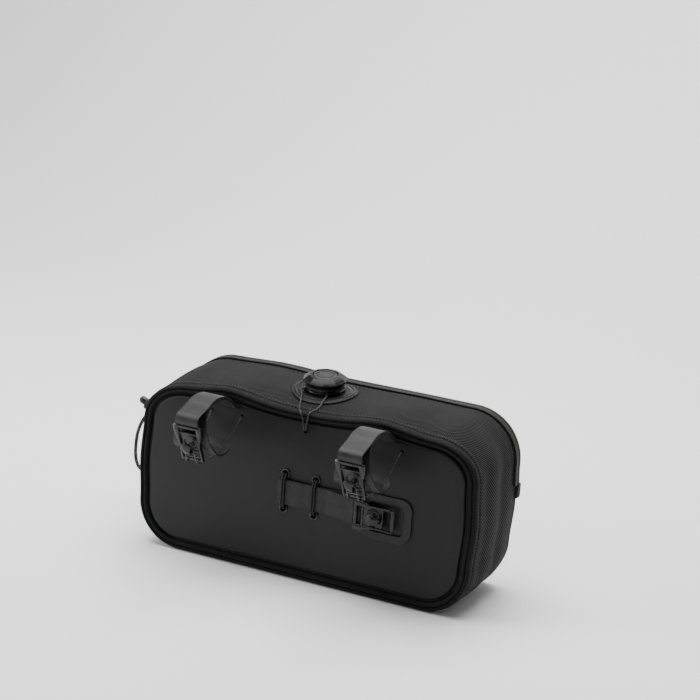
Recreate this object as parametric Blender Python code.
"""Bicycle handlebar bag with two bar straps, a stowed stem strap and a lace dial.

Units are metres. +X is the rider's right, +Y is forwards, +Z is up, and the rider sees the rear
panel, which faces -Y. The origin is the middle of the flat bottom that the bag stands on.
"""
import math

import bmesh
import bpy
from mathutils import Matrix, Vector

MM = 0.001

# Clearance between pieces that touch
GAP = 0.3 * MM

# Body: outer outline seen from the rear, and the distance from rear to front outline
BAG_WIDTH = 240 * MM
BAG_HEIGHT = 118.6 * MM
BAG_DEPTH = 75 * MM
CORNER_RADIUS = 31 * MM
SIDE_BOW = 1.5 * MM
FRONT_TAPER = 0.1 * MM
EDGE_LIFT = 0.4 * MM
CORNER_STEPS = 6
LONG_SIDE_STEPS = 10
SHORT_SIDE_STEPS = 4

# Cloth gusset between the two bindings
CLOTH = 2.0 * MM
GUSSET_INSET = 0.6 * MM
TOP_CROWN = 3.0 * MM
SIDE_CROWN = 1.8 * MM
FLAT_MARGIN = 7 * MM
CROWN_FULLNESS = 2.2

# Bindings round the rear and front edges
BINDING_WIDTH = 6.4 * MM
BINDING_DEPTH = 6.0 * MM
FRONT_BINDING_INSET = 1.2 * MM

# Sections of the bindings, as shares of their width inwards and of their depth
REAR_BINDING_ROWS = ((0.14, 1.0), (0.0, 0.55), (0.06, 0.2), (0.26, -0.06), (0.47, 0.06),
                     (0.70, -0.08), (0.96, 0.12), (1.0, 0.45), (0.88, 0.85))
FRONT_BINDING_ROWS = ((0.10, 1.0), (0.0, 0.55), (0.05, 0.16), (0.30, 0.0), (0.70, 0.0),
                      (0.95, 0.16), (1.0, 0.5), (0.88, 0.9))

# Moulded panels
PANEL_THICKNESS = 2.6 * MM
GROOVE_WIDTH = 2.0 * MM
GROOVE_DEPTH = 2.3 * MM
GROOVE_ROWS = ((0.0, 0.87), (0.3, 1.0), (0.7, 0.5), (1.0, 0.12), (1.9, 0.0))
PANEL_RINGS = (0.8, 0.5, 0.2)
REAR_BULGE = 3.4 * MM
FRONT_BULGE = 7.5 * MM
PANEL_FULLNESS = 2.4

# Top of the bag: its rear edge sags between the two straps that lift it, which "spread" places
REAR_SAG = 5.6 * MM
REAR_HUMPS = (
    {"spread": -1.02, "lift": 5.0 * MM, "reach": 25 * MM},
    {"spread": 0.90, "lift": 4.6 * MM, "reach": 25 * MM},
)
FRONT_HUMP = {"spread": -0.88, "lift": 1.6 * MM, "reach": 26 * MM}
WAVE_BOTTOM_SHARE = 0.25
WAVE_FADE = 1.2

# Soft upright folds in the two ends of the gusset: place along the depth, and size
END_FOLDS = (
    {"side": 1, "depth_share": 0.24, "height_share": 0.42, "dent": 1.2 * MM, "reach": 6 * MM},
    {"side": 1, "depth_share": 0.58, "height_share": 0.55, "dent": 1.6 * MM, "reach": 7 * MM},
    {"side": -1, "depth_share": 0.35, "height_share": 0.40, "dent": 1.3 * MM, "reach": 8 * MM},
    {"side": -1, "depth_share": 0.70, "height_share": 0.55, "dent": 1.0 * MM, "reach": 6 * MM},
)

# Zip over the front of the top, the flap beside it, and the tab at each of its ends
ZIP_END_LEVEL = 14 * MM
ZIP_TAPE = 1.0 * MM
ZIP_TAPE_WIDTH = 4.9 * MM
ZIP_COIL_HEIGHT = 0.6 * MM
ZIP_SETBACK = 0.6 * MM
ZIP_COIL_SHARES = (0.34, 0.42, 0.74, 0.82)
FLAP_THICKNESS = 0.9 * MM
FLAP_WIDTH = 7.4 * MM
FLAP_SETBACK = 4.6 * MM
FLAP_STEPS = 3
TAB_SIZE = (2.6 * MM, 5.5 * MM, 10 * MM)
TAB_ROUNDING = 0.7 * MM

# Zip slider, pull strap, toggle and cord loop at the left end
SLIDER_SIZE = (3.4 * MM, 4.6 * MM, 9.5 * MM)
SLIDER_LEVEL = 24 * MM
PULL_STRAP_WIDTH = 6.0 * MM
PULL_STRAP_THICKNESS = 2.4 * MM
TOGGLE_LENGTH = 19 * MM
TOGGLE_RADIUS = 2.85 * MM
TOGGLE_TILT = 24.4
TOGGLE_SLEEVE = 1.3 * MM
PULL_CORD_DIAMETER = 2.5 * MM

# Dial on the top, tilted towards the rider: rubber patch, base and turning knob
DIAL_AT = (-5.0 * MM, -2.0 * MM)
DIAL_TILT = 7
PATCH_RADIUS = 21.5 * MM
PATCH_SEAT_RADIUS = 15.5 * MM
PATCH_THICKNESS = 1.5 * MM
BASE_RADIUS = 13.4 * MM
BASE_HEIGHT = 2.0 * MM
BASE_CHAMFER = 0.8 * MM
BOSS_RADIUS = 8.4 * MM
BOSS_HEIGHT = 5.0 * MM
KNOB_RADIUS = 14.8 * MM
KNOB_HEIGHT = 7.8 * MM
KNOB_DISC_RADIUS = 8.3 * MM
KNOB_BORE_SHARE = 0.72
BORE_CLEARANCE = 0.8 * MM
KNOB_FACETS = 10
KNOB_TOOTH = 0.3 * MM

# Knob's section: past the disc's rim and below the top in millimetres, then inside the knob's
# rim in millimetres and up as a share of its height
KNOB_DISC_ROWS = ((-0.7, 0.4), (-0.3, 1.0), (0.0, 1.0), (0.5, 0.1), (2.0, 0.2))
KNOB_RIM_ROWS = ((1.4, 0.74), (0.0, 0.62), (0.3, 0.5), (1.7, 0.44), (1.9, 0.0))
KNOB_FACETED_ROWS = (5, 6, 7, 8)
KNOB_TOOTHED_ROW = 8

# Patch: how far out each ring is from the middle, in seat radii, and its rise in thicknesses
PATCH_SEAT_RINGS = (0.5, 1.0)
PATCH_LIP_RINGS = ((1.17, 0.55), (1.23, 0.9), (1.32, 0.9))
PATCH_EDGE_RISE = 0.4
PATCH_UNDER_RINGS = (0.9, 0.45)
PATCH_LEVEL_SHARE = 0.8
PATCH_SIDES = 28

# Wires and the guides that they leave the dial by
WIRE_GUIDE_SIZE = (3.2 * MM, 3.2 * MM, 1.9 * MM)
WIRE_GUIDE_ROUNDING = 0.4 * MM
WIRE_GUIDE_SUNK = 2.0 * MM
WIRE_GUIDE_RAISED = 0.15 * MM
WIRE_GUIDE_ANGLES = {"left": 221, "right": 300}
WIRE_DIAMETER = 0.9 * MM

# Handlebar that the two bar straps close round
BAR_RADIUS = 15.9 * MM
BAR_BEHIND = 30 * MM
BAR_DROP = 17.3 * MM

# Bar straps and the stem strap: band, paddle and window
STRAP_SPREAD = 56.7 * MM
STRAP_WIDTH = 16 * MM
LEAF = 1.2 * MM
STRAP_ROOT_DROP = 11.9 * MM
ROOT_REACH = 7 * MM
TOUCH_REACH = 19 * MM
TOUCH_ANGLE = 98
SPLIT_ANGLE = 118
PADDLE_WIDTH = 29.7 * MM
PADDLE_LENGTH = 38.6 * MM
PADDLE_CORNER = 8 * MM
FLARE_LENGTH = 20 * MM
FLARE_SHARE = 0.62
WINDOW_WIDTH = 20 * MM
WINDOW_LENGTH = 24 * MM
WINDOW_CORNER = 3 * MM
WINDOW_BAND = 5.3 * MM

# Hook buckle
BUCKLE_LENGTH = 28 * MM
BUCKLE_HEAD_WIDTH = 20 * MM
BUCKLE_WAIST_WIDTH = 15.4 * MM
BUCKLE_THICKNESS = 2.2 * MM
BUCKLE_RAIL = 0.6 * MM
BUCKLE_SLOT = (2.5 * MM, 5.5 * MM)
BUCKLE_MOUTH = (20.4 * MM, 25.4 * MM)
BUCKLE_HOLE_WIDTH = 12.4 * MM
HOOK_ROOT = 18.6 * MM
HOOK_HEIGHT = 7.8 * MM
HOOK_THICKNESS = 1.6 * MM
HOOK_NECK_WIDTH = 4.2 * MM

# Hook from its root: along in millimetres, height as a share, and width in neck widths
HOOK_ROWS = ((0.0, 0.12, 1.0), (0.6, 0.5, 1.0), (-0.4, 0.8, 1.0), (-3.0, 0.92, 1.2),
             (-5.6, 0.86, 1.67), (-7.6, 0.72, 1.33))
TONGUE = 0.8 * MM
TONGUE_INSET = 1.5 * MM
LEAF_LAP = 3.0 * MM
BUCKLE_CONTACT_ANGLE = 204.6

# Stem strap stowed on the rear panel under two elastic cords
STEM_STRAP_START = -14 * MM
STEM_STEP_AT = 41 * MM
STEM_STRAP_LEVEL = 0.4 * MM
STEM_PADDLE_DROP = 2.9 * MM
EYELET_RADIUS = 3.0 * MM
EYELET_HOLE_RADIUS = 2.0 * MM
EYELET_HEIGHT = 0.9 * MM
EYELET_WALL = 0.35 * MM
EYELET_COLUMNS = {"left": -9.7 * MM, "right": 12.2 * MM}
EYELET_ROWS = {"upper": 12.4 * MM, "lower": -11.2 * MM}
ELASTIC_DIAMETER = 1.2 * MM
ELASTIC_SPREAD = 0.8 * MM
ELASTIC_INSIDE = 4.8 * MM
ELASTIC_HOLE_DEPTH = 1.6 * MM

# Wires of the bar straps
HOOK_WIRE_HOLE_OUT = 11.2 * MM
HOOK_WIRE_HOLE_DROP = 15.7 * MM
WIRE_HOLE_RADIUS = 1.1 * MM
CENTRE_HOLE_AT = 0.7 * MM
CENTRE_HOLE_DROP = 14.5 * MM
CENTRE_HOLE_RADIUS = 1.5 * MM

# Pull at the left end, as steps in millimetres from the slider's outer face: out, along, up
PULL_STRAP_ROUTE = (
    {"out": 1.2, "along": 0.0, "up": 0.6, "turn": 78},
    {"out": 3.2, "along": -0.2, "up": 2.0, "turn": 74},
    {"out": 6.2, "along": -0.7, "up": 3.4, "turn": 68},
    {"out": 11.3, "along": -1.3, "up": 4.0, "turn": 60},
    {"out": 16.9, "along": -1.9, "up": 2.6, "turn": 46},
    {"out": 22.1, "along": -2.4, "up": -0.8, "turn": 28},
    {"out": 25.9, "along": -2.8, "up": -4.4, "turn": 12},
    {"out": 28.4, "along": -3.0, "up": -7.2, "turn": 0},
    {"out": 29.4, "along": -3.1, "up": -8.9, "turn": 0},
)
TOGGLE_AT = {"out": 31.1, "along": -3.1, "up": -12.0}

# Routes of the cords and wires, in millimetres. The pull cord goes by the same steps as the pull.
PULL_CORD_ROUTE = (
    (32.9, -1.6, -17.0), (35.2, -1.7, -20.6), (37.8, -1.9, -25.2), (40.0, -2.1, -30.6),
    (41.4, -2.3, -37.0), (41.8, -2.6, -44.2), (41.6, -2.8, -50.0), (40.5, -3.0, -55.2),
    (37.9, -3.2, -59.3), (33.7, -3.4, -61.2), (29.5, -3.6, -59.6), (26.8, -3.8, -55.8),
    (26.2, -4.0, -50.8), (27.3, -4.2, -44.0), (29.0, -4.3, -36.7), (30.7, -4.4, -28.6),
    (31.5, -4.4, -22.4), (31.0, -4.4, -17.2),
)

# Across, behind the rear outline, and up from the top of the outline before it sags. The dial's
# wires start at their guides.
DIAL_WIRE_ROUTES = {
    "left": ((-13.7, -19.2, 4.4), (-12.0, -15.4, 3.4), (-9.9, -10.2, 2.0), (-7.7, -5.1, 1.3),
             (-5.4, -0.6, 1.3), (-3.6, 1.5, -0.3), (-2.4, 1.7, -2.7), (-1.2, 2.0, -6.3),
             (-0.4, 2.5, -10.3), (0.0, 2.3, -13.3), (0.1, 0.8, -14.5), (0.1, -1.6, -14.6)),
    "right": ((3.1, -18.0, 4.2), (3.6, -14.2, 3.0), (3.9, -9.6, 1.8), (3.6, -4.6, 1.3),
              (2.8, -0.6, 1.3), (2.3, 1.5, -0.3), (2.1, 1.8, -2.7), (1.9, 2.2, -6.3),
              (1.6, 2.7, -10.3), (1.4, 2.4, -13.3), (1.3, 0.8, -14.4), (1.3, -1.6, -14.4)),
}
HOOK_WIRE_ROUTE = (
    (11.2, -1.6, -15.7), (11.2, 0.6, -15.9), (11.1, 3.0, -17.5), (10.7, 7.0, -22.0),
    (10.0, 12.5, -27.9), (9.1, 17.4, -32.2), (8.0, 22.4, -35.1), (6.9, 28.0, -36.8),
    (5.7, 34.0, -38.1), (4.7, 39.6, -39.2), (4.0, 43.4, -38.7), (3.5, 45.1, -36.3),
    (3.4, 46.7, -32.7), (3.4, 47.4, -31.0), (3.0, 48.0, -29.7), (1.8, 48.5, -28.7),
    (0.0, 48.7, -28.2),
)

REAR = -BAG_DEPTH / 2
FRONT = BAG_DEPTH / 2
MIDDLE = EDGE_LIFT + BAG_HEIGHT / 2
TOP_LEVEL = BAG_HEIGHT / 2
STRAP_INNER = BAR_RADIUS + 0.4 * MM


# Materials
def material(name, colour, roughness, metallic=0.0):
    made = bpy.data.materials.new(name)
    made.use_nodes = True
    shader = made.node_tree.nodes["Principled BSDF"]
    shader.inputs["Base Color"].default_value = (*colour, 1.0)
    shader.inputs["Roughness"].default_value = roughness
    shader.inputs["Metallic"].default_value = metallic
    return made


def clear_scene():
    for thing in list(bpy.data.objects):
        bpy.data.objects.remove(thing, do_unlink=True)


def add_object(name, verts, faces, finish, smooth_angle=35):
    """Makes one closed body from points and faces, with its faces turned out."""
    shape = bmesh.new()
    made = [shape.verts.new(point) for point in verts]
    for face in faces:
        shape.faces.new([made[index] for index in face])
    bmesh.ops.recalc_face_normals(shape, faces=shape.faces)
    mesh = bpy.data.meshes.new(name)
    shape.to_mesh(mesh)
    shape.free()
    mesh.materials.append(finish)
    thing = bpy.data.objects.new(name, mesh)
    bpy.context.scene.collection.objects.link(thing)
    mesh.shade_smooth()
    mesh.set_sharp_from_angle(angle=math.radians(smooth_angle))
    return thing


def add_boolean(thing, cutter, operation):
    """Cuts or joins one object with another, which is then only a guide."""
    cutter.hide_render = True
    cutter.display_type = "WIRE"
    step = thing.modifiers.new(operation.lower(), "BOOLEAN")
    step.operation = operation
    step.solver = "EXACT"
    step.object = cutter


# Outline of the bag
def outline_side(start, end, normal, steps, bow):
    """Points along one straight side, bowed out in its middle."""
    rows = []
    for step in range(steps):
        share = step / steps
        swell = bow * math.sin(math.pi * share) ** 2
        point = start.lerp(end, share) + normal * swell
        rows.append((point, normal))
    return rows


def outline_corner(centre, first_angle):
    """Points round one corner, each with its outward direction."""
    rows = []
    for step in range(CORNER_STEPS):
        angle = math.radians(first_angle + 90 * step / CORNER_STEPS)
        normal = Vector((math.cos(angle), math.sin(angle)))
        rows.append((centre + normal * CORNER_RADIUS, normal))
    return rows


def side_bow(level):
    """How far an end of the outline is bowed out at a level from the middle."""
    core_z = BAG_HEIGHT / 2 - CORNER_RADIUS
    return SIDE_BOW * math.cos(math.pi * min(abs(level) / core_z, 1.0) / 2) ** 2


def bag_outline(upper_from=None):
    """The outline as (point, normal) rows about its middle, anticlockwise as the rider sees it.

    With upper_from, only the part above that level, from the right side over the top.
    """
    half_x = BAG_WIDTH / 2
    half_z = BAG_HEIGHT / 2
    core_x = half_x - CORNER_RADIUS
    core_z = half_z - CORNER_RADIUS
    right, up = Vector((1, 0)), Vector((0, 1))
    right_side = outline_side(Vector((half_x, -core_z)), Vector((half_x, core_z)), right,
                              SHORT_SIDE_STEPS, SIDE_BOW)
    left_side = outline_side(Vector((-half_x, core_z)), Vector((-half_x, -core_z)), -right,
                             SHORT_SIDE_STEPS, SIDE_BOW)
    top_side = outline_side(Vector((core_x, half_z)), Vector((-core_x, half_z)), up,
                            LONG_SIDE_STEPS, 0)
    over = outline_corner(Vector((core_x, core_z)), 0) + top_side
    over += outline_corner(Vector((-core_x, core_z)), 90)
    if upper_from is not None:
        levels = [upper_from + (core_z - upper_from) * step / SHORT_SIDE_STEPS
                  for step in range(SHORT_SIDE_STEPS)]
        first = [(Vector((half_x + side_bow(level), level)), right) for level in levels]
        last = [(Vector((-half_x - side_bow(level), level)), -right)
                for level in [core_z, *reversed(levels)]]
        return first + over + last
    bottom_side = outline_side(Vector((-core_x, -half_z)), Vector((core_x, -half_z)), -up,
                               LONG_SIDE_STEPS, 0)
    return (bottom_side + outline_corner(Vector((core_x, -core_z)), -90) + right_side + over
            + left_side + outline_corner(Vector((-core_x, -core_z)), 180))


def top_wave(x, y, z):
    """How far the top edge is lifted or pulled down at a point of the body."""
    height = (z - MIDDLE) / (BAG_HEIGHT / 2)
    near_top = min(max((height - WAVE_BOTTOM_SHARE) / (1 - WAVE_BOTTOM_SHARE), 0.0), 1.0) ** 2
    near_rear = min(max((FRONT - y) / BAG_DEPTH, 0.0), 1.0) ** WAVE_FADE

    def hump(row):
        return row["lift"] * math.exp(-((x - row["spread"] * STRAP_SPREAD) / row["reach"]) ** 2)

    rear = sum(hump(row) for row in REAR_HUMPS) - REAR_SAG
    return near_top * (rear * near_rear + hump(FRONT_HUMP) * (1 - near_rear))


def sagged(x, y, z):
    """The level that a point of the body comes to when its top sags."""
    return z + top_wave(x, y, z)


def body_point(point, normal, inset, y):
    """A point of the body: the outline moved in by inset, at depth y, with taper and wave."""
    share = (y - REAR) / BAG_DEPTH
    taper = FRONT_TAPER * share * (normal.x ** 2 + max(normal.y, 0.0) ** 2)
    place = point - normal * (inset + taper)
    return Vector((place.x, y, sagged(place.x, y, MIDDLE + place.y)))


def sweep_ring(name, profile, finish):
    """Sweeps a closed (inset, y) profile round the whole outline."""
    stations = bag_outline()
    verts = []
    for point, normal in stations:
        for inset, y in profile(point, normal):
            verts.append(body_point(point, normal, inset, y))
    size = len(verts) // len(stations)
    faces = []
    for row in range(len(stations)):
        after = (row + 1) % len(stations)
        for column in range(size):
            beside = (column + 1) % size
            faces.append((row * size + column, row * size + beside,
                          after * size + beside, after * size + column))
    return add_object(name, verts, faces, finish)


def sweep_over_top(name, profile, level, finish):
    """Sweeps a closed (inset, y) profile over the top, from one side to the other."""
    stations = bag_outline(upper_from=level)
    verts = []
    for point, normal in stations:
        for inset, y in profile(point, normal):
            verts.append(body_point(point, normal, inset, y))
    size = len(verts) // len(stations)
    faces = []
    for row in range(len(stations) - 1):
        for column in range(size):
            beside = (column + 1) % size
            faces.append((row * size + column, row * size + beside,
                          (row + 1) * size + beside, (row + 1) * size + column))
    faces.append(tuple(range(size)))
    faces.append(tuple(range(len(verts) - size, len(verts))))
    return add_object(name, verts, faces, finish)


# Gusset
def gusset_inset(normal, y, z):
    """Inset of the gusset's outer face, crowned on top, bowed at the ends and flat below."""
    half = BAG_DEPTH / 2 - BINDING_DEPTH
    across = min(abs(y) / half, 1.0)
    dome = 1 - across ** CROWN_FULLNESS
    plateau = min((1 - across) * half / FLAT_MARGIN, 1.0)
    crown = TOP_CROWN * max(normal.y, 0.0) ** 2 * dome + SIDE_CROWN * normal.x ** 2 * dome
    flat = (GUSSET_INSET + EDGE_LIFT) * max(-normal.y, 0.0) ** 2 * plateau
    dent = 0.0
    for fold in END_FOLDS:
        beside = (y - REAR - fold["depth_share"] * BAG_DEPTH) / fold["reach"]
        along = z / (fold["height_share"] * BAG_HEIGHT)
        facing = max(normal.x * fold["side"], 0.0) ** 2
        dent += fold["dent"] * facing * math.exp(-beside ** 2) * math.exp(-along ** 4)
    return GUSSET_INSET - crown - flat + dent


def make_gusset(finish):
    start = REAR + BINDING_DEPTH + GAP
    end = FRONT - BINDING_DEPTH - GAP
    steps = 10

    def profile(point, normal):
        depths = [start + (end - start) * step / steps for step in range(steps + 1)]
        outer = [(gusset_inset(normal, y, point.y), y) for y in depths]
        return outer + [(inset + CLOTH, y) for inset, y in outer[::-2]]

    return sweep_ring("gusset", profile, finish)


# Bindings
def make_bindings(finish, smooth):
    def rear_profile(point, normal):
        return [(share * BINDING_WIDTH, REAR + deep * BINDING_DEPTH)
                for share, deep in REAR_BINDING_ROWS]

    def front_profile(point, normal):
        width = BINDING_WIDTH - FRONT_BINDING_INSET
        return [(FRONT_BINDING_INSET + share * width, FRONT - deep * BINDING_DEPTH)
                for share, deep in FRONT_BINDING_ROWS]

    sweep_ring("rear_piping", rear_profile, finish)
    sweep_ring("front_binding", front_profile, smooth)


# Panels
def panel_bulge(x, z, bulge):
    """How far a panel stands out at a point given from its middle."""
    half_x = BAG_WIDTH / 2 - BINDING_WIDTH - GROOVE_WIDTH
    half_z = BAG_HEIGHT / 2 - BINDING_WIDTH - GROOVE_WIDTH
    across = max(1 - abs(x / half_x) ** PANEL_FULLNESS, 0.0)
    upright = max(1 - abs(z / half_z) ** PANEL_FULLNESS, 0.0)
    return bulge * across * upright


def rear_face(x, z):
    """Depth of the rear panel's outer face at x and at z from the panel's middle."""
    return REAR - panel_bulge(x, z, REAR_BULGE)


def make_panel(name, edge_y, outward, bulge, finish):
    """A moulded panel: groove inside the binding, then a gently domed field."""
    edge = BINDING_WIDTH + GAP
    rows = [(edge + along * GROOVE_WIDTH, deep * GROOVE_DEPTH) for along, deep in GROOVE_ROWS]
    stations = bag_outline()
    outer_rings = []
    for inset, deep in rows:
        outer_rings.append([(point, normal, inset, deep, 1.0) for point, normal in stations])
    last = rows[-1][0]
    for share in PANEL_RINGS:
        outer_rings.append([(point, normal, last, 0.0, share) for point, normal in stations])
    inner_rings = [outer_rings[0], *outer_rings[-4::2], outer_rings[-1]]
    verts = []
    for layer, layer_rings in ((0.0, outer_rings), (PANEL_THICKNESS, inner_rings)):
        for ring in layer_rings:
            for point, normal, inset, deep, share in ring:
                flat = (point - normal * inset) * share
                y = edge_y + outward * (panel_bulge(flat.x, flat.y, bulge) - deep - layer)
                taper = FRONT_TAPER * (edge_y - REAR) / BAG_DEPTH * share
                x = flat.x - taper * normal.x
                z = MIDDLE + flat.y - taper * max(normal.y, 0.0)
                verts.append(Vector((x, y, sagged(x, edge_y, z))))
    count = len(stations)
    faces = []
    for base, rings in ((0, len(outer_rings)), (len(outer_rings) * count, len(inner_rings))):
        for ring in range(rings - 1):
            for column in range(count):
                beside = (column + 1) % count
                faces.append((base + ring * count + column, base + ring * count + beside,
                              base + (ring + 1) * count + beside, base + (ring + 1) * count + column))
        faces.append(tuple(base + (rings - 1) * count + column for column in range(count)))
    for column in range(count):
        beside = (column + 1) % count
        below = len(outer_rings) * count
        faces.append((column, beside, below + beside, below + column))
    return add_object(name, verts, faces, finish)


def make_panel_cutter():
    """Guide that opens the rear panel for the eyelets and the wires."""
    holes = [(x, z, EYELET_HOLE_RADIUS + 2 * GAP)
             for x in EYELET_COLUMNS.values() for z in EYELET_ROWS.values()]
    holes.append((CENTRE_HOLE_AT, TOP_LEVEL - CENTRE_HOLE_DROP, CENTRE_HOLE_RADIUS))
    for side in (-1, 1):
        for out in (-HOOK_WIRE_HOLE_OUT, HOOK_WIRE_HOLE_OUT):
            holes.append((side * STRAP_SPREAD + out, TOP_LEVEL - HOOK_WIRE_HOLE_DROP,
                          WIRE_HOLE_RADIUS))
    verts = []
    faces = []
    sides = 12
    for x, z, radius in holes:
        base = len(verts)
        for y in (REAR - 3 * REAR_BULGE, REAR + 4 * PANEL_THICKNESS):
            for step in range(sides):
                angle = 2 * math.pi * step / sides
                verts.append(Vector((x + radius * math.cos(angle), y,
                                     sagged(x, REAR, MIDDLE + z) + radius * math.sin(angle))))
        for step in range(sides):
            after = (step + 1) % sides
            faces.append((base + step, base + after, base + sides + after, base + sides + step))
        faces.append(tuple(base + step for step in range(sides)))
        faces.append(tuple(base + sides + step for step in range(sides)))
    return verts, faces


# Zip, its flap and its end tabs
def make_zip(tape_finish, flap_finish):
    tape_top = FRONT_BINDING_INSET - GAP - ZIP_TAPE
    coil_top = tape_top - ZIP_COIL_HEIGHT
    zip_start = FRONT - ZIP_SETBACK - ZIP_TAPE_WIDTH

    def zip_profile(point, normal):
        coil_foot, coil_rise, coil_end, coil_fall = ZIP_COIL_SHARES
        rows = ((0.0, tape_top + ZIP_TAPE), (0.0, tape_top), (coil_foot, tape_top),
                (coil_rise, coil_top), (coil_end, coil_top), (coil_fall, tape_top),
                (1.0, tape_top), (1.0, tape_top + ZIP_TAPE))
        return [(inset, zip_start + share * ZIP_TAPE_WIDTH) for share, inset in rows]

    def flap_profile(point, normal):
        end = FRONT - FLAP_SETBACK
        lower = []
        for step in range(FLAP_STEPS + 1):
            y = end - FLAP_WIDTH * (1 - step / FLAP_STEPS)
            over_cloth = gusset_inset(normal, y, point.y) - GAP
            lower.append((min(over_cloth, coil_top - GAP), y))
        upper = [(inset - FLAP_THICKNESS, y) for inset, y in reversed(lower)]
        return lower + upper

    sweep_over_top("front_zip", zip_profile, ZIP_END_LEVEL, tape_finish)
    sweep_over_top("zip_flap", flap_profile, ZIP_END_LEVEL, flap_finish)


def rounded_block(name, centre, size, radius, finish, turn=None):
    """A block with bevelled edges, made at its size and then placed."""
    shape = bmesh.new()
    bmesh.ops.create_cube(shape, size=1.0)
    bmesh.ops.scale(shape, vec=size, verts=shape.verts)
    bmesh.ops.bevel(shape, geom=shape.edges[:], offset=radius, segments=2, affect="EDGES",
                    profile=0.5)
    mesh = bpy.data.meshes.new(name)
    shape.to_mesh(mesh)
    shape.free()
    mesh.materials.append(finish)
    mesh.shade_smooth()
    mesh.set_sharp_from_angle(angle=math.radians(40))
    thing = bpy.data.objects.new(name, mesh)
    thing.location = centre
    if turn is not None:
        thing.rotation_euler = turn
    bpy.context.scene.collection.objects.link(thing)
    return thing


def side_surface(side, level):
    """Where the front outline is at an end of the bag, at a level."""
    return side * (BAG_WIDTH / 2 + side_bow(level) - FRONT_TAPER)


def make_zip_tabs(finish):
    for label, side in (("left", -1), ("right", 1)):
        level = ZIP_END_LEVEL - GAP - TAB_SIZE[2] / 2
        out = side_surface(side, level) - side * (FRONT_BINDING_INSET - GAP - TAB_SIZE[0] / 2)
        centre = (out, FRONT - ZIP_SETBACK - TAB_SIZE[1] / 2, MIDDLE + level)
        rounded_block(f"zip_end_tab_{label}", centre, TAB_SIZE, TAB_ROUNDING, finish)


# Turned and ribbon-like pieces
def turned(name, profile, sides, finish, place=None, radius_at=None):
    """Turns a (radius, height) profile about its axis; rows on the axis are single points."""
    place = place or Matrix.Identity(4)
    verts = []
    rings = []
    for index, (radius, height) in enumerate(profile):
        if radius == 0:
            rings.append([len(verts)])
            verts.append(place @ Vector((0, 0, height)))
            continue
        ring = []
        for step in range(sides):
            angle = 2 * math.pi * step / sides
            reach = radius_at(index, step, angle, radius) if radius_at else radius
            ring.append(len(verts))
            verts.append(place @ Vector((reach * math.cos(angle), reach * math.sin(angle), height)))
        rings.append(ring)
    pairs = list(zip(rings, rings[1:]))
    if len(rings[0]) > 1:
        pairs.append((rings[-1], rings[0]))
    faces = []
    for lower, upper in pairs:
        for step in range(sides):
            after = (step + 1) % sides
            if len(lower) == 1:
                faces.append((lower[0], upper[step], upper[after]))
            elif len(upper) == 1:
                faces.append((lower[step], lower[after], upper[0]))
            else:
                faces.append((lower[step], lower[after], upper[after], upper[step]))
    return add_object(name, verts, faces, finish)


def smooth_route(route, spacing):
    """Points at an even spacing on the Catmull-Rom curve through the route's points."""
    points = [2 * route[0] - route[1], *route, 2 * route[-1] - route[-2]]
    fine = []
    for before, start, end, after in zip(points, points[1:], points[2:], points[3:]):
        for step in range(12):
            t = step / 12
            fine.append(0.5 * (2 * start + (end - before) * t
                               + (2 * before - 5 * start + 4 * end - after) * t ** 2
                               + (3 * start - before - 3 * end + after) * t ** 3))
    fine.append(route[-1].copy())
    lengths = [0.0]
    for start, end in zip(fine, fine[1:]):
        lengths.append(lengths[-1] + (end - start).length)
    count = max(round(lengths[-1] / spacing), 2)
    even = []
    index = 0
    for step in range(count + 1):
        target = lengths[-1] * step / count
        while index < len(fine) - 2 and lengths[index + 1] < target:
            index += 1
        span = lengths[index + 1] - lengths[index]
        even.append(fine[index].lerp(fine[index + 1], (target - lengths[index]) / span))
    return even


def tube(name, points, diameter, finish):
    """A cord or wire as a round tube along the points."""
    curve = bpy.data.curves.new(name, "CURVE")
    curve.dimensions = "3D"
    curve.bevel_depth = diameter / 2
    curve.bevel_resolution = 2
    curve.use_fill_caps = True
    spline = curve.splines.new("POLY")
    spline.points.add(len(points) - 1)
    for target, point in zip(spline.points, points):
        target.co = (*point, 1.0)
    curve.materials.append(finish)
    thing = bpy.data.objects.new(name, curve)
    bpy.context.scene.collection.objects.link(thing)
    return thing


# Zip pull
def slider_face():
    """Middle of the slider's outer face."""
    lift = ZIP_TAPE + ZIP_COIL_HEIGHT - FRONT_BINDING_INSET + 2 * GAP + SLIDER_SIZE[0]
    y = FRONT - FLAP_SETBACK + GAP + SLIDER_SIZE[1] / 2
    widest = side_surface(-1, SLIDER_LEVEL - SLIDER_SIZE[2] / 2)
    return Vector((widest - lift, y, MIDDLE + SLIDER_LEVEL))


def pull_point(out, along, up):
    """A point of the pull, from its steps in millimetres."""
    return slider_face() + Vector((-out, along, up)) * MM


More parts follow.
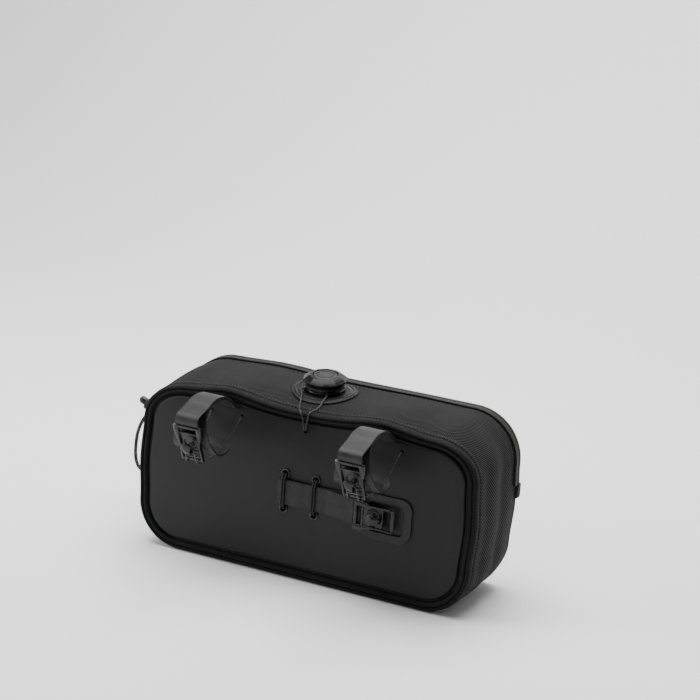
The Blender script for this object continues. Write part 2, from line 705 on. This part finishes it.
def make_zip_pull(hard_finish, strap_finish, cord_finish):
    face = slider_face()
    rounded_block("zip_slider", face + Vector((SLIDER_SIZE[0] / 2, 0, 0)), SLIDER_SIZE, 0.9 * MM,
                  hard_finish)

    # Toggle, and the strap's loop round it
    centre = pull_point(TOGGLE_AT["out"], TOGGLE_AT["along"], TOGGLE_AT["up"])
    place = (Matrix.Translation(centre) @ Matrix.Rotation(math.radians(TOGGLE_TILT), 4, "Y")
             @ Matrix.Rotation(math.radians(90), 4, "Y"))
    rows = [(0.0, -TOGGLE_LENGTH / 2)]
    straight = TOGGLE_LENGTH / 2 - TOGGLE_RADIUS
    for angle in (-60, -30, 0):
        rows.append((TOGGLE_RADIUS * math.cos(math.radians(angle)),
                     -straight + TOGGLE_RADIUS * math.sin(math.radians(angle))))
    rows += [(radius, -height) for radius, height in reversed(rows)]
    turned("pull_toggle", rows, 14, hard_finish, place)
    inner = TOGGLE_RADIUS + GAP
    outer = inner + TOGGLE_SLEEVE
    half = PULL_STRAP_WIDTH / 2
    sleeve = turned("pull_strap_loop", ((inner, -half), (inner, half), (outer, half), (outer, -half)),
                    14, strap_finish, place)

    # Strap, whose flat side turns from the zip's line to the toggle's
    path = [pull_point(row["out"], row["along"], row["up"]) for row in PULL_STRAP_ROUTE]
    verts = []
    for index, (point, row) in enumerate(zip(path, PULL_STRAP_ROUTE)):
        ahead = path[min(index + 1, len(path) - 1)] - path[max(index - 1, 0)]
        ahead.normalize()
        across = Vector((0, 1, 0)).cross(ahead).normalized()
        turn = math.radians(row["turn"])
        wide = across * math.cos(turn) + Vector((0, 1, 0)) * math.sin(turn)
        thick = ahead.cross(wide).normalized()
        for side, face_side in ((-1, -1), (1, -1), (1, 1), (-1, 1)):
            verts.append(point + wide * side * PULL_STRAP_WIDTH / 2
                         + thick * face_side * PULL_STRAP_THICKNESS / 2)
    faces = [(0, 1, 2, 3), tuple(range(len(verts) - 4, len(verts)))]
    for row in range(len(path) - 1):
        for column in range(4):
            beside = (column + 1) % 4
            faces.append((row * 4 + column, row * 4 + beside, row * 4 + 4 + beside,
                          row * 4 + 4 + column))
    strap = add_object("pull_strap", verts, faces, strap_finish)
    add_boolean(strap, sleeve, "UNION")

    route = [pull_point(*row) for row in PULL_CORD_ROUTE]
    tube("pull_cord", smooth_route(route, 2 * PULL_CORD_DIAMETER), PULL_CORD_DIAMETER,
         cord_finish)


# Dial
def top_surface(x, y):
    """Height of the gusset's top at a point."""
    up = Vector((0, 1))
    return body_point(Vector((x, TOP_LEVEL)), up, gusset_inset(up, y, TOP_LEVEL), y).z


def dial_seat():
    """Place of the patch's flat top, whose Z axis is the dial's axis."""
    slope = math.tan(math.radians(DIAL_TILT))
    levels = [top_surface(*DIAL_AT)]
    for step in range(PATCH_SIDES):
        angle = 2 * math.pi * step / PATCH_SIDES
        forwards = PATCH_SEAT_RADIUS * math.sin(angle)
        level = top_surface(DIAL_AT[0] + PATCH_SEAT_RADIUS * math.cos(angle), DIAL_AT[1] + forwards)
        levels.append(level - slope * forwards)
    level = max(levels) + GAP + PATCH_LEVEL_SHARE * PATCH_THICKNESS
    return Matrix.Translation((*DIAL_AT, level)) @ Matrix.Rotation(math.radians(DIAL_TILT), 4, "X")


def guide_place(label):
    """Place of a wire's guide on the base, whose X axis points the way the wire leaves."""
    turn = Matrix.Rotation(math.radians(WIRE_GUIDE_ANGLES[label]), 4, "Z")
    out = BASE_RADIUS - WIRE_GUIDE_SUNK + WIRE_GUIDE_SIZE[0] / 2
    rise = GAP + WIRE_GUIDE_RAISED + WIRE_GUIDE_SIZE[2] / 2
    return dial_seat() @ turn @ Matrix.Translation((out, 0, rise))


def make_patch(finish):
    """Patch whose edge follows the cloth and whose middle is a flat seat for the base."""
    seat = dial_seat()
    edge = PATCH_RADIUS / PATCH_SEAT_RADIUS
    verts = []
    rings = []

    def add_ring(share, point_at):
        ring = []
        for step in range(PATCH_SIDES):
            angle = 2 * math.pi * step / PATCH_SIDES
            radius = share * PATCH_SEAT_RADIUS
            ring.append(len(verts))
            verts.append(point_at(radius * math.cos(angle), radius * math.sin(angle)))
        rings.append(ring)

    for share in PATCH_SEAT_RINGS:
        add_ring(share, lambda x, y: seat @ Vector((x, y, 0)))
    for share, rise in PATCH_LIP_RINGS + ((edge, PATCH_EDGE_RISE),):
        add_ring(share, lambda x, y: over_cloth(x, y, GAP + rise * PATCH_THICKNESS))
    for share in (edge,) + PATCH_UNDER_RINGS:
        add_ring(share, lambda x, y: over_cloth(x, y, 1.5 * GAP))
    faces = [tuple(rings[0]), tuple(rings[-1])]
    for first, second in zip(rings, rings[1:]):
        for step in range(PATCH_SIDES):
            after = (step + 1) % PATCH_SIDES
            faces.append((first[step], first[after], second[after], second[step]))
    add_object("dial_patch", verts, faces, finish)


def over_cloth(x, y, rise):
    """A point over the cloth at x and y from the dial's middle."""
    across, forwards = DIAL_AT[0] + x, DIAL_AT[1] + y
    return Vector((across, forwards, top_surface(across, forwards) + rise))


def make_dial(dark, cap_finish):
    # Base with its boss and the two guides that the wires leave by
    place = dial_seat() @ Matrix.Translation((0, 0, GAP))
    boss_top = BASE_HEIGHT + BOSS_HEIGHT
    base = turned("dial_base", ((0, 0), (BASE_RADIUS, 0), (BASE_RADIUS, BASE_HEIGHT - BASE_CHAMFER),
                                (BASE_RADIUS - BASE_CHAMFER, BASE_HEIGHT),
                                (BOSS_RADIUS, BASE_HEIGHT), (BOSS_RADIUS, boss_top),
                                (0, boss_top)), 32, dark, place)
    for label in WIRE_GUIDE_ANGLES:
        guide = rounded_block(f"guide_{label}", (0, 0, 0), WIRE_GUIDE_SIZE,
                              WIRE_GUIDE_ROUNDING, dark)
        guide.matrix_world = guide_place(label)
        add_boolean(base, guide, "UNION")
        base.modifiers[-1].name = f"guide {label}"

    # Knob, with facets on its rim and teeth below it
    bore = BOSS_RADIUS + BORE_CLEARANCE
    bore_top = KNOB_BORE_SHARE * KNOB_HEIGHT
    disc = [(KNOB_DISC_RADIUS + out * MM, KNOB_HEIGHT - down * MM) for out, down in KNOB_DISC_ROWS]
    rim = [(KNOB_RADIUS - within * MM, share * KNOB_HEIGHT) for within, share in KNOB_RIM_ROWS]
    profile = [(0, disc[0][1]), *disc, *rim, (bore, 0), (bore, bore_top), (0, bore_top)]

    def knob_radius(index, step, angle, radius):
        reach = radius
        if index in KNOB_FACETED_ROWS:
            width = 2 * math.pi / KNOB_FACETS
            reach *= math.cos(width / 2) / math.cos(angle % width - width / 2)
        if index == KNOB_TOOTHED_ROW:
            reach -= KNOB_TOOTH * (step % 2)
        return reach

    knob = turned("dial_knob", profile, 4 * KNOB_FACETS, cap_finish, None, knob_radius)
    knob.matrix_world = place @ Matrix.Translation((0, 0, BASE_HEIGHT + GAP))


def rear_point(across, behind, up):
    """A point in millimetres: across, behind the rear outline, up from its top before it sags.

    Points near the body sag with it, and points as far back as the bar don't.
    """
    x, y = across * MM, REAR - behind * MM
    z = MIDDLE + TOP_LEVEL + up * MM
    near = min(max(1 - behind * MM / BAR_RADIUS, 0.0), 1.0)
    return Vector((x, y, z + near * top_wave(x, y, z)))


def make_dial_wires(finish):
    for label, route in DIAL_WIRE_ROUTES.items():
        guide = guide_place(label)
        mouth = guide @ Vector((WIRE_GUIDE_SIZE[0] / 2 + GAP, 0, 0))
        leaving = guide @ Vector((WIRE_GUIDE_SIZE[0] / 2 + 2 * WIRE_DIAMETER, 0, 0))
        points = smooth_route([mouth, leaving] + [rear_point(*row) for row in route],
                              3 * WIRE_DIAMETER)
        tube(f"dial_wire_{label}", points, WIRE_DIAMETER, finish)


# Hook buckle, in its own frame: s along it from the strap, u across, h outwards
def make_buckle_mesh(finish):
    half_head = BUCKLE_HEAD_WIDTH / 2
    half_waist = BUCKLE_WAIST_WIDTH / 2
    hole = BUCKLE_HOLE_WIDTH / 2
    plate_start, plate_end = BUCKLE_SLOT[1], BUCKLE_MOUTH[0]
    plate = plate_end - plate_start
    rows = ((0, 0.93), (0.35 * BUCKLE_SLOT[0], 1.0), (BUCKLE_SLOT[0], 1.0), (plate_start, 0.94),
            (plate_start + 0.22 * plate, 0.55), (plate_start + 0.5 * plate, 0.0),
            (plate_start + 0.75 * plate, -0.1), (plate_end, 0.0), (BUCKLE_MOUTH[1], 0.05),
            (BUCKLE_LENGTH - 0.8 * MM, 0.05), (BUCKLE_LENGTH, -0.12))
    shares = (-1.0, -0.86, -0.45, 0.0, 0.45, 0.86, 1.0)
    verts = []
    for level in (0, 1):
        for s, share in rows:
            half = half_waist + (half_head - half_waist) * share
            for column, place in enumerate(shares):
                u = place * half
                if column in (1, 5):
                    u = math.copysign(hole, place)
                edge = column in (0, 6)
                h = BUCKLE_THICKNESS if level else 0.0
                if level and edge:
                    h += 0.4 * BUCKLE_RAIL
                if level and column in (1, 5):
                    h += BUCKLE_RAIL
                if level and column in (2, 3, 4) and plate_start < s < plate_end:
                    h -= 0.35 * BUCKLE_THICKNESS
                verts.append(Vector((s, u, h)))
    columns = len(shares)
    level_size = len(rows) * columns
    slot_row = 2
    mouth_row = 7

    def solid(row, column):
        if not (0 <= row < len(rows) - 1 and 0 <= column < columns - 1):
            return False
        return not (row in (slot_row, mouth_row) and 1 <= column <= columns - 3)

    faces = []
    for row in range(len(rows) - 1):
        for column in range(columns - 1):
            if not solid(row, column):
                continue
            corner = row * columns + column
            cell = (corner, corner + 1, corner + columns + 1, corner + columns)
            faces.append(cell)
            faces.append(tuple(index + level_size for index in cell))
            sides = ((solid(row - 1, column), cell[0], cell[1]),
                     (solid(row, column + 1), cell[1], cell[2]),
                     (solid(row + 1, column), cell[2], cell[3]),
                     (solid(row, column - 1), cell[3], cell[0]))
            for covered, first, second in sides:
                if not covered:
                    faces.append((first, second, second + level_size, first + level_size))
    body = add_object("buckle_body", verts, faces, finish)

    # Hook: out from the plate and back over it towards the strap
    path = [(HOOK_ROOT + along * MM, up * HOOK_HEIGHT, wide * HOOK_NECK_WIDTH)
            for along, up, wide in HOOK_ROWS]
    verts = []
    for index, (s, h, width) in enumerate(path):
        before = path[max(index - 1, 0)]
        after = path[min(index + 1, len(path) - 1)]
        ahead = Vector((after[0] - before[0], after[1] - before[1])).normalized()
        normal = Vector((ahead.y, -ahead.x)) * HOOK_THICKNESS / 2
        for side, face_side in ((-1, -1), (1, -1), (1, 1), (-1, 1)):
            verts.append(Vector((s + normal.x * face_side, side * width / 2, h + normal.y * face_side)))
    faces = [(0, 1, 2, 3), tuple(range(len(verts) - 4, len(verts)))]
    for row in range(len(path) - 1):
        for column in range(4):
            beside = (column + 1) % 4
            faces.append((row * 4 + column, row * 4 + beside, row * 4 + 4 + beside, row * 4 + 4 + column))
    hook = add_object("buckle_hook", verts, faces, finish)
    add_boolean(body, hook, "UNION")
    graph = bpy.context.evaluated_depsgraph_get()
    mesh = bpy.data.meshes.new_from_object(body.evaluated_get(graph))
    mesh.name = "hook_buckle"
    for guide in (body, hook):
        bpy.data.objects.remove(guide, do_unlink=True)
    return mesh


def place_buckle(name, mesh, origin, along, outward):
    across = outward.cross(along)
    thing = bpy.data.objects.new(name, mesh)
    thing.matrix_world = Matrix((
        (along.x, across.x, outward.x, origin.x),
        (along.y, across.y, outward.y, origin.y),
        (along.z, across.z, outward.z, origin.z),
        (0, 0, 0, 1)))
    bpy.context.scene.collection.objects.link(thing)
    return thing


# Straps: a band that splits into an outer leaf, which holds the buckle, and a paddle under it
def paddle_half_width(s):
    """Half width of the inner leaf at s past the split."""
    total = FLARE_LENGTH + PADDLE_LENGTH
    share = min(s / (FLARE_SHARE * total), 1.0)
    wide = STRAP_WIDTH / 2 + (PADDLE_WIDTH - STRAP_WIDTH) / 2 * share ** 2 * (3 - 2 * share)
    into_corner = s - (total - PADDLE_CORNER)
    if into_corner > 0:
        wide -= PADDLE_CORNER - math.sqrt(max(PADDLE_CORNER ** 2 - into_corner ** 2, 0.0))
    return wide


def paddle_stations():
    """Places along the inner leaf, closer together round its corners."""
    total = FLARE_LENGTH + PADDLE_LENGTH
    straight = total - PADDLE_CORNER
    rows = [straight * step / 10 for step in range(1, 11)]
    return rows + [straight + PADDLE_CORNER * math.sin(math.radians(angle)) for angle in (30, 60, 88)]


def split_strap(name, place, trunk, outer_leaf, inner_leaf, finish):
    """Strap from rows of (outer point, inner point, half width) for the trunk and both leaves."""
    verts = []

    def add(point, half):
        verts.append(place(point, -half))
        verts.append(place(point, half))
        return len(verts) - 2

    trunk_outer = [add(outer, half) for outer, inner, half in trunk]
    trunk_inner = [add(inner, half) for outer, inner, half in trunk]
    outer_out = [add(outer, half) for outer, inner, half in outer_leaf]
    outer_in = [add(inner, half) for outer, inner, half in outer_leaf]
    inner_out = [add(outer, half) for outer, inner, half in inner_leaf]
    inner_in = [add(inner, half) for outer, inner, half in inner_leaf]
    last_outer, last_inner, last_half = trunk[-1]
    notch = add((last_outer + last_inner) / 2, last_half)
    belt = (trunk_outer + outer_out + outer_in[::-1] + [notch] + inner_out + inner_in[::-1]
            + trunk_inner[::-1])
    faces = []
    for index, first in enumerate(belt):
        second = belt[(index + 1) % len(belt)]
        faces.append((first, second, second + 1, first + 1))
    caps = []
    for index in range(len(trunk) - 1):
        cap = [trunk_outer[index], trunk_outer[index + 1], trunk_inner[index + 1], trunk_inner[index]]
        if index == len(trunk) - 2:
            cap.insert(2, notch)
        caps.append(cap)
    for outside, inside, first_out, first_in in ((outer_out, outer_in, trunk_outer[-1], notch),
                                                 (inner_out, inner_in, notch, trunk_inner[-1])):
        outs = [first_out] + outside
        ins = [first_in] + inside
        for index in range(len(outs) - 1):
            caps.append([outs[index], outs[index + 1], ins[index + 1], ins[index]])
    for cap in caps:
        faces.append(tuple(cap))
        faces.append(tuple(index + 1 for index in cap))
    return add_object(name, verts, faces, finish)


def make_window(name, place_at, finish):
    """Guide that opens the paddle's window; place_at gives the point at s, u and h."""
    total = FLARE_LENGTH + PADDLE_LENGTH
    end = total - WINDOW_BAND
    start = end - WINDOW_LENGTH
    corner = WINDOW_CORNER
    stations = [(start + corner * (1 - math.cos(math.radians(angle))),
                 WINDOW_WIDTH / 2 - corner * (1 - math.sin(math.radians(angle))))
                for angle in (0, 30, 60, 90)]
    inner_count = 6
    for step in range(1, inner_count):
        stations.append((start + corner + (end - start - 2 * corner) * step / inner_count,
                         WINDOW_WIDTH / 2))
    stations += [(start + end - s, half) for s, half in reversed(stations[:4])]
    verts = []
    for s, half in stations:
        for u, h in ((-half, -LEAF), (half, -LEAF), (half, 2 * LEAF), (-half, 2 * LEAF)):
            verts.append(place_at(s, u, h))
    faces = [(0, 1, 2, 3), tuple(range(len(verts) - 4, len(verts)))]
    for row in range(len(stations) - 1):
        for column in range(4):
            beside = (column + 1) % 4
            faces.append((row * 4 + column, row * 4 + beside, row * 4 + 4 + beside, row * 4 + 4 + column))
    return add_object(name, verts, faces, finish)


def leaf_end_rows(buckle_point):
    """The outer leaf's end against the buckle's bar, and the thin tongue under the bar."""
    wide = STRAP_WIDTH / 2
    tongue = wide - TONGUE_INSET
    tip = BUCKLE_SLOT[0] + 2 * TONGUE
    under = -GAP - TONGUE
    lap = 0.62 * BUCKLE_THICKNESS
    return [
        (buckle_point(-LEAF_LAP, lap), buckle_point(-LEAF_LAP, -GAP), wide),
        (buckle_point(-GAP, lap), buckle_point(-GAP, under), wide),
        (buckle_point(-0.8 * GAP, -GAP), buckle_point(0.7 * GAP, under), tongue),
        (buckle_point(tip, -GAP), buckle_point(tip, under), tongue),
    ]


def make_bar_straps(strap_finish, buckle_mesh):
    """Straps that leave the panel, pass over the bar and close round it."""
    bar = Vector((-BAR_BEHIND, TOP_LEVEL - BAR_DROP))
    wide = STRAP_WIDTH / 2
    band = 2 * LEAF

    def on_bar(degrees, radius):
        angle = math.radians(degrees)
        return bar + Vector((math.cos(angle), math.sin(angle))) * radius

    def round_bar(degrees):
        angle = math.radians(degrees)
        return Vector((-math.sin(angle), math.cos(angle)))

    # Band: out of the panel, up and over, then on the bar to the split
    root_level = TOP_LEVEL - STRAP_ROOT_DROP
    root = Vector((rear_face(STRAP_SPREAD, root_level) - REAR - GAP, root_level))
    touch_angle = TOUCH_ANGLE
    touch = on_bar(touch_angle, STRAP_INNER)
    controls = (root, root + Vector((-ROOT_REACH, 0.1 * ROOT_REACH)),
                touch - round_bar(touch_angle) * TOUCH_REACH, touch)
    trunk = []
    for step in range(8):
        t = step / 8
        point = (controls[0] * (1 - t) ** 3 + controls[1] * 3 * t * (1 - t) ** 2
                 + controls[2] * 3 * t ** 2 * (1 - t) + controls[3] * t ** 3)
        slope = ((controls[1] - controls[0]) * (1 - t) ** 2
                 + (controls[2] - controls[1]) * 2 * t * (1 - t)
                 + (controls[3] - controls[2]) * t ** 2).normalized()
        normal = Vector((slope.y, -slope.x))
        trunk.append((point + normal * band, point, wide))
    for angle in (touch_angle, (touch_angle + SPLIT_ANGLE) / 2, SPLIT_ANGLE):
        trunk.append((on_bar(angle, STRAP_INNER + band), on_bar(angle, STRAP_INNER), wide))

    # Buckle: flat against the paddle at its middle
    direction = round_bar(BUCKLE_CONTACT_ANGLE)
    outward = on_bar(BUCKLE_CONTACT_ANGLE, 1.0) - bar
    contact = on_bar(BUCKLE_CONTACT_ANGLE, STRAP_INNER + LEAF + GAP)
    start = contact - direction * BUCKLE_LENGTH / 2

    def buckle_point(s, h):
        return start + direction * s + outward * h

    # Outer leaf: straight off the bar to the buckle
    off = on_bar(SPLIT_ANGLE, STRAP_INNER + 1.5 * LEAF)
    off_direction = round_bar(SPLIT_ANGLE)
    end = buckle_point(-LEAF_LAP, 0.25 * BUCKLE_THICKNESS)
    span = (end - off).length
    ends = leaf_end_rows(buckle_point)
    outer_leaf = []
    for step in range(1, 4):
        t = step / 4
        first = off + off_direction * span * 0.4
        second = end - direction * span * 0.3
        point = (off * (1 - t) ** 3 + first * 3 * t * (1 - t) ** 2 + second * 3 * t ** 2 * (1 - t)
                 + end * t ** 3)
        slope = off_direction.lerp(direction, t).normalized()
        normal = Vector((slope.y, -slope.x)) * LEAF / 2
        outer_leaf.append((point + normal, point - normal, wide))
    outer_leaf += ends

    # Inner leaf: round the bar, widening into the paddle
    def leaf_angle(s):
        return SPLIT_ANGLE + math.degrees(s / (STRAP_INNER + LEAF / 2))

    inner_leaf = [(on_bar(leaf_angle(s), STRAP_INNER + LEAF), on_bar(leaf_angle(s), STRAP_INNER),
                   paddle_half_width(s)) for s in paddle_stations()]

    for label, side in (("left", -1), ("right", 1)):
        middle = side * STRAP_SPREAD

        def place(point, u):
            return Vector((middle + u, REAR + point.x, MIDDLE + point.y))

        def place_at(s, u, h):
            return place(on_bar(leaf_angle(s), STRAP_INNER + h), u)

        strap = split_strap(f"handlebar_strap_{label}", place, trunk, outer_leaf, inner_leaf,
                            strap_finish)
        add_boolean(strap, make_window(f"window_{label}", place_at, strap_finish), "DIFFERENCE")
        place_buckle(f"hook_buckle_{label}", buckle_mesh, place(start, 0),
                     Vector((0, direction.x, direction.y)), Vector((0, outward.x, outward.y)))


def make_hook_wires(finish):
    """A wire loop on each bar strap: from two holes in the panel round the buckle's hook."""
    for label, side in (("left", -1), ("right", 1)):
        half = [(-across, behind, up) for across, behind, up in HOOK_WIRE_ROUTE]
        rows = half + [(-across, behind, up) for across, behind, up in reversed(half[:-1])]
        middle = side * STRAP_SPREAD / MM
        points = [rear_point(middle + across, behind, up) for across, behind, up in rows]
        tube(f"hook_wire_{label}", smooth_route(points, 3 * WIRE_DIAMETER), WIRE_DIAMETER, finish)


def make_stem_strap(strap_finish, buckle_mesh):
    """Third strap, which lies flat on the panel under the elastic cords."""
    split = STEM_STEP_AT - FLARE_LENGTH
    wide = STRAP_WIDTH / 2
    band = 2 * LEAF
    under_buckle = GAP + LEAF + GAP + TONGUE + GAP
    start = STEM_STEP_AT + GAP
    total = FLARE_LENGTH + PADDLE_LENGTH

    def drift(s):
        share = min(max((s - split) / (FLARE_SHARE * total), 0.0), 1.0)
        return -STEM_PADDLE_DROP * share ** 2 * (3 - 2 * share)

    def face(s):
        return rear_face(s, STEM_STRAP_LEVEL)

    def place(point, u):
        return Vector((point.x, face(point.x) - point.y, MIDDLE + STEM_STRAP_LEVEL + drift(point.x) + u))

    def place_at(s, u, h):
        return place(Vector((split + s, GAP + h)), u)

    trunk = []
    for step in range(7):
        s = STEM_STRAP_START + (split - STEM_STRAP_START) * step / 6
        trunk.append((Vector((s, GAP + band)), Vector((s, GAP)), wide))

    def buckle_point(s, h):
        return Vector((start + s, under_buckle + h))

    outer_leaf = []
    for step in (1, 2, 3):
        share = step / 4
        s = split + (FLARE_LENGTH - LEAF_LAP) * share
        rise = (under_buckle - GAP - LEAF - GAP) * share
        outer_leaf.append((Vector((s, 2 * GAP + band + rise)), Vector((s, 2 * GAP + LEAF + rise)), wide))
    outer_leaf += leaf_end_rows(buckle_point)
    inner_leaf = [(Vector((split + s, GAP + LEAF)), Vector((split + s, GAP)), paddle_half_width(s))
                  for s in paddle_stations()]
    strap = split_strap("stem_strap", place, trunk, outer_leaf, inner_leaf, strap_finish)
    add_boolean(strap, make_window("stem_window", place_at, strap_finish), "DIFFERENCE")

    middle_drift = drift(start + BUCKLE_LENGTH / 2)
    near = place(Vector((start, under_buckle)), middle_drift - drift(start))
    far_s = start + BUCKLE_LENGTH
    far = place(Vector((far_s, under_buckle)), middle_drift - drift(far_s))
    along = (far - near).normalized()
    outward = Vector((0, 0, 1)).cross(along)
    place_buckle("stem_buckle", buckle_mesh, near, along, -outward)


# Eyelets and the elastic cords that hold the stem strap
def make_eyelets(finish):
    hole = EYELET_HOLE_RADIUS
    barrel = hole + EYELET_WALL
    deep = -PANEL_THICKNESS - EYELET_HEIGHT
    profile = ((hole, 0.4 * EYELET_HEIGHT), (hole + 0.7 * EYELET_WALL, EYELET_HEIGHT),
               (EYELET_RADIUS - EYELET_WALL, 0.95 * EYELET_HEIGHT),
               (EYELET_RADIUS, 0.3 * EYELET_HEIGHT), (EYELET_RADIUS, 0), (barrel, 0),
               (barrel, deep), (hole, deep))
    for column, x in EYELET_COLUMNS.items():
        for row, z in EYELET_ROWS.items():
            centre = Vector((x, rear_face(x, z) - GAP, MIDDLE + z))
            place = Matrix.Translation(centre) @ Matrix.Rotation(math.radians(90), 4, "X")
            turned(f"eyelet_{row}_{column}", profile, 12, finish, place)


def make_retainers(finish):
    """Each elastic runs twice over the strap, out of one eyelet and into the other."""
    over = GAP + 2 * LEAF + GAP + ELASTIC_DIAMETER / 2
    inside = -ELASTIC_INSIDE
    turn = inside + ELASTIC_SPREAD
    hole = -ELASTIC_HOLE_DEPTH
    upper, lower = EYELET_ROWS["upper"], EYELET_ROWS["lower"]
    strap_top = STEM_STRAP_LEVEL + STRAP_WIDTH / 2
    strap_bottom = STEM_STRAP_LEVEL - STRAP_WIDTH / 2
    for label, x in EYELET_COLUMNS.items():
        bulge = REAR - rear_face(x, 0)
        down = (
            (turn, upper), (hole, upper), (bulge, upper),
            (bulge + over / 2, upper - GAP), (bulge + over, strap_top + GAP),
            (bulge + over, strap_top / 2), (bulge + over, strap_bottom / 2),
            (bulge + over, strap_bottom - GAP), (bulge + over / 2, lower + GAP),
            (bulge, lower), (hole, lower), (turn, lower),
        )
        rows = [(x - ELASTIC_SPREAD, behind, z) for behind, z in down]
        rows.append((x, inside, lower))
        rows += [(x + ELASTIC_SPREAD, behind, z) for behind, z in reversed(down)]
        points = [Vector((across, REAR - behind, MIDDLE + z)) for across, behind, z in rows]
        tube(f"retainer_cord_{label}", smooth_route(points, 3 * ELASTIC_DIAMETER), ELASTIC_DIAMETER,
             finish)


# Whole bag
def main():
    clear_scene()
    twill = material("twill", (0.030, 0.030, 0.033), 0.85)
    soft_touch = material("soft_touch", (0.021, 0.021, 0.023), 0.55)
    binding = material("binding", (0.022, 0.022, 0.024), 0.8)
    flap = material("flap", (0.034, 0.031, 0.030), 0.7)
    zip_tape = material("zip_tape", (0.018, 0.018, 0.019), 0.6)
    rubber = material("rubber", (0.024, 0.024, 0.026), 0.6)
    dark_plastic = material("dark_plastic", (0.012, 0.012, 0.013), 0.35)
    cap_plastic = material("cap_plastic", (0.045, 0.045, 0.048), 0.38)
    strap_plastic = material("strap_plastic", (0.040, 0.040, 0.042), 0.5)
    eyelet_metal = material("eyelet_metal", (0.03, 0.03, 0.032), 0.3, 0.9)
    wire_finish = material("wire", (0.05, 0.05, 0.053), 0.3)
    elastic = material("elastic", (0.012, 0.012, 0.013), 0.8)
    cord_finish = material("cord", (0.03, 0.03, 0.03), 0.85)

    make_gusset(twill)
    make_bindings(binding, binding)
    rear_panel = make_panel("rear_panel", REAR, -1, REAR_BULGE, soft_touch)
    cutter = add_object("panel_holes", *make_panel_cutter(), soft_touch)
    add_boolean(rear_panel, cutter, "DIFFERENCE")
    make_panel("front_panel", FRONT, 1, FRONT_BULGE, soft_touch)
    make_zip(zip_tape, flap)
    make_zip_tabs(flap)
    make_zip_pull(dark_plastic, strap_plastic, cord_finish)
    make_patch(rubber)
    make_dial(dark_plastic, cap_plastic)
    make_dial_wires(wire_finish)
    buckle_mesh = make_buckle_mesh(dark_plastic)
    make_bar_straps(strap_plastic, buckle_mesh)
    make_hook_wires(wire_finish)
    make_stem_strap(strap_plastic, buckle_mesh)
    make_eyelets(eyelet_metal)
    make_retainers(elastic)


main()
